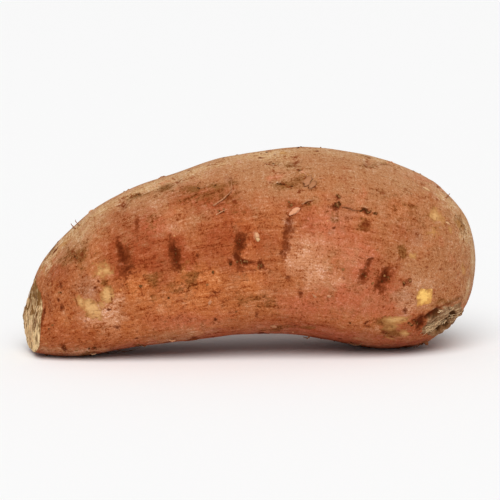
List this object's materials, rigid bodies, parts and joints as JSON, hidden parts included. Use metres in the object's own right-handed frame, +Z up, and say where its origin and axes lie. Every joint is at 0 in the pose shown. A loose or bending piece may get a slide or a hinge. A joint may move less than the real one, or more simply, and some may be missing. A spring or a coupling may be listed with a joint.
{
  "type": "sweet potato",
  "caption": "Bent, blunt storage root of a sweet potato with rows of shallow eyes, a dry cut face at one end and a dry scar low on the round end.",
  "frame": {"origin": "centre of the bounding box in X and Y, on the surface that the root stands on", "axes": "+X along the root from the cut end to the round end, +Y to the back of the root, +Z up"},
  "size_m": [0.168, 0.0664, 0.0745],
  "materials": {
    "skin": "dry reddish-brown root skin, matt with a faint sheen, dusty with soil on its back",
    "dry_root": "dead thin roots, loose skin and the fibres of the scars, dry, fibrous and matt",
    "soil": "dried crumbs of soil and pale grit, matt"
  },
  "bodies": {
    "root": {"sweet_potato": "skin"}
  },
  "joints": []
}
